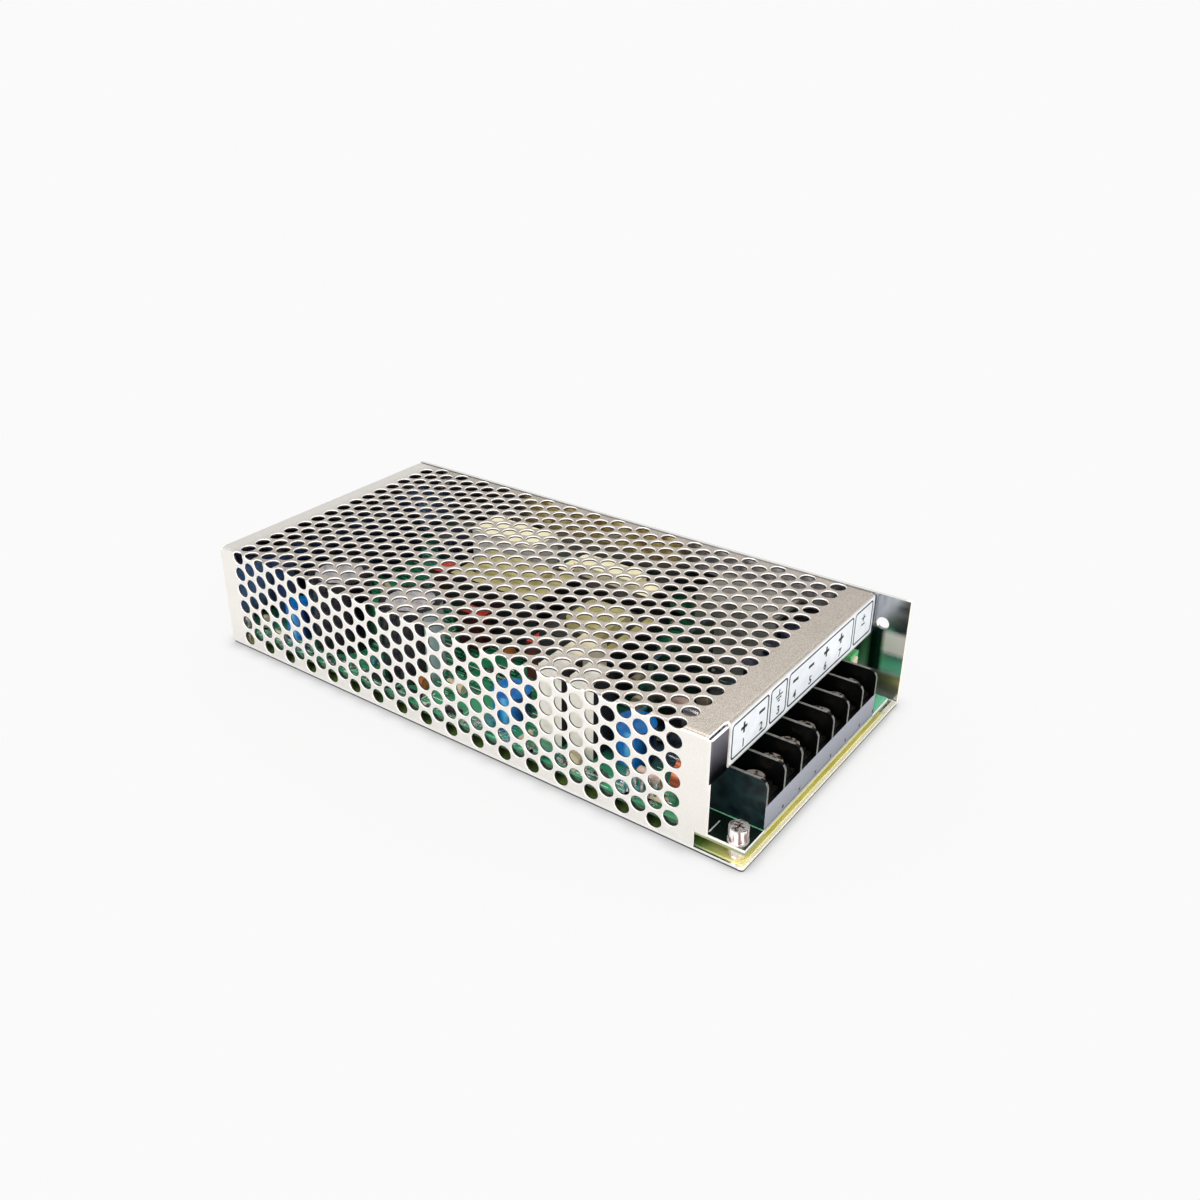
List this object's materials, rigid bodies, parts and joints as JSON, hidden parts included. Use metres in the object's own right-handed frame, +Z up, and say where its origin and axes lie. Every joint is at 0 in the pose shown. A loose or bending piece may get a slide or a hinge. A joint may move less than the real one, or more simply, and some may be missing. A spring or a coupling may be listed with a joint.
{
  "type": "enclosed switching power supply",
  "caption": "Switching power supply in a perforated folded sheet cover over an aluminium chassis, with a row of screw terminals, lamp and trimmer at one end.",
  "frame": {"origin": "middle of the footprint, on the underside of the chassis floor", "axes": "+X along the case towards the terminal end, +Y towards the plain chassis wall (the perforated side is at -Y), +Z up from the mounting face"},
  "size_m": [0.199, 0.098, 0.036],
  "materials": {
    "aluminium_sheet": "satin, bare",
    "steel_sheet": "zinc plated, satin",
    "label": "printed film",
    "plated_steel": "bright plating",
    "yellow_film": "insulating film",
    "board": "solder mask",
    "black_plastic": "moulded",
    "tinned_brass": "tinned",
    "green_lens": "diffused lens",
    "green_plastic": "moulded",
    "cream_plastic": "moulded",
    "yellow_tape": "film tape",
    "cream_tape": "film tape",
    "ferrite": "sintered",
    "black_sleeve": "shrink sleeve",
    "blue_sleeve": "shrink sleeve",
    "navy_sleeve": "shrink sleeve",
    "copper_wire": "enamelled copper",
    "cement": "cast",
    "red_plastic": "dipped",
    "black_aluminium": "black anodised",
    "pad": "silicone",
    "fuse_glass": "clear"
  },
  "bodies": {
    "case": {"chassis": "aluminium_sheet", "mesh_cover": "steel_sheet", "terminal_label": "label", "cover_screws": "plated_steel", "insulation_sheet": "yellow_film", "circuit_board": "board", "board_standoffs": "plated_steel", "board_flat_washers": "plated_steel", "board_spring_washers": "plated_steel", "board_screws": "plated_steel", "terminal_block": "black_plastic", "terminal_contacts": "tinned_brass", "power_lamp": "green_lens", "lamp_leads": "tinned_brass", "trimmer_body": "green_plastic", "transformer_bobbin": "black_plastic", "transformer_winding": "yellow_tape", "transformer_core": "ferrite", "output_choke_bobbin": "black_plastic", "output_choke_winding": "yellow_tape", "output_choke_core": "ferrite", "filter_choke_bobbin": "black_plastic", "filter_choke_winding": "cream_tape", "filter_choke_core": "ferrite", "bulk_capacitors": "black_sleeve", "blue_capacitors": "blue_sleeve", "input_capacitor": "navy_sleeve", "output_capacitors": "black_sleeve", "toroid_holder": "black_plastic", "toroid_coil": "copper_wire", "cement_resistors": "cement", "relay": "cream_plastic", "film_capacitors": "red_plastic", "rear_heatsink": "black_aluminium", "heat_spreader": "aluminium_sheet", "power_transistors": "black_plastic", "thermal_pads": "pad", "clamp_bar": "plated_steel", "control_board": "board", "control_chip": "black_plastic", "fuse_glass": "fuse_glass", "fuse_caps": "plated_steel", "fuse_clips": "plated_steel"},
    "clamp_1": {"wire_clamp_1": "plated_steel"},
    "screw_1": {"terminal_screw_1": "plated_steel"},
    "clamp_2": {"wire_clamp_2": "plated_steel"},
    "screw_2": {"terminal_screw_2": "plated_steel"},
    "clamp_3": {"wire_clamp_3": "plated_steel"},
    "screw_3": {"terminal_screw_3": "plated_steel"},
    "clamp_4": {"wire_clamp_4": "plated_steel"},
    "screw_4": {"terminal_screw_4": "plated_steel"},
    "clamp_5": {"wire_clamp_5": "plated_steel"},
    "screw_5": {"terminal_screw_5": "plated_steel"},
    "clamp_6": {"wire_clamp_6": "plated_steel"},
    "screw_6": {"terminal_screw_6": "plated_steel"},
    "clamp_7": {"wire_clamp_7": "plated_steel"},
    "screw_7": {"terminal_screw_7": "plated_steel"},
    "rotor": {"trimmer_rotor": "cream_plastic"}
  },
  "joints": [
    {"name": "clamp_lift_1", "type": "slide", "parent": "case", "child": "clamp_1", "axis": [0, 0, 1], "range_m": [0, 0.0024]},
    {"name": "screw_turn_1", "type": "hinge", "parent": "clamp_1", "child": "screw_1", "pos_m": [0.0925, -0.0327, 0.0151], "axis": [0, 0, 1], "range_deg": [0, 1440]},
    {"name": "clamp_lift_2", "type": "slide", "parent": "case", "child": "clamp_2", "axis": [0, 0, 1], "range_m": [0, 0.0024]},
    {"name": "screw_turn_2", "type": "hinge", "parent": "clamp_2", "child": "screw_2", "pos_m": [0.0925, -0.0232, 0.0151], "axis": [0, 0, 1], "range_deg": [0, 1440]},
    {"name": "clamp_lift_3", "type": "slide", "parent": "case", "child": "clamp_3", "axis": [0, 0, 1], "range_m": [0, 0.0024]},
    {"name": "screw_turn_3", "type": "hinge", "parent": "clamp_3", "child": "screw_3", "pos_m": [0.0925, -0.0137, 0.0151], "axis": [0, 0, 1], "range_deg": [0, 1440]},
    {"name": "clamp_lift_4", "type": "slide", "parent": "case", "child": "clamp_4", "axis": [0, 0, 1], "range_m": [0, 0.0024]},
    {"name": "screw_turn_4", "type": "hinge", "parent": "clamp_4", "child": "screw_4", "pos_m": [0.0925, -0.0042, 0.0151], "axis": [0, 0, 1], "range_deg": [0, 1440]},
    {"name": "clamp_lift_5", "type": "slide", "parent": "case", "child": "clamp_5", "axis": [0, 0, 1], "range_m": [0, 0.0024]},
    {"name": "screw_turn_5", "type": "hinge", "parent": "clamp_5", "child": "screw_5", "pos_m": [0.0925, 0.0053, 0.0151], "axis": [0, 0, 1], "range_deg": [0, 1440]},
    {"name": "clamp_lift_6", "type": "slide", "parent": "case", "child": "clamp_6", "axis": [0, 0, 1], "range_m": [0, 0.0024]},
    {"name": "screw_turn_6", "type": "hinge", "parent": "clamp_6", "child": "screw_6", "pos_m": [0.0925, 0.0148, 0.0151], "axis": [0, 0, 1], "range_deg": [0, 1440]},
    {"name": "clamp_lift_7", "type": "slide", "parent": "case", "child": "clamp_7", "axis": [0, 0, 1], "range_m": [0, 0.0024]},
    {"name": "screw_turn_7", "type": "hinge", "parent": "clamp_7", "child": "screw_7", "pos_m": [0.0925, 0.0243, 0.0151], "axis": [0, 0, 1], "range_deg": [0, 1440]},
    {"name": "trimmer_turn", "type": "hinge", "parent": "case", "child": "rotor", "pos_m": [0.0881, 0.0378, 0.0165], "axis": [1, 0, 0], "range_deg": [-130, 130]}
  ],
  "couplings": [
    {"joint": "screw_turn_1", "follows": "clamp_lift_1", "rad_per_m": 10472},
    {"joint": "screw_turn_2", "follows": "clamp_lift_2", "rad_per_m": 10472},
    {"joint": "screw_turn_3", "follows": "clamp_lift_3", "rad_per_m": 10472},
    {"joint": "screw_turn_4", "follows": "clamp_lift_4", "rad_per_m": 10472},
    {"joint": "screw_turn_5", "follows": "clamp_lift_5", "rad_per_m": 10472},
    {"joint": "screw_turn_6", "follows": "clamp_lift_6", "rad_per_m": 10472},
    {"joint": "screw_turn_7", "follows": "clamp_lift_7", "rad_per_m": 10472}
  ]
}
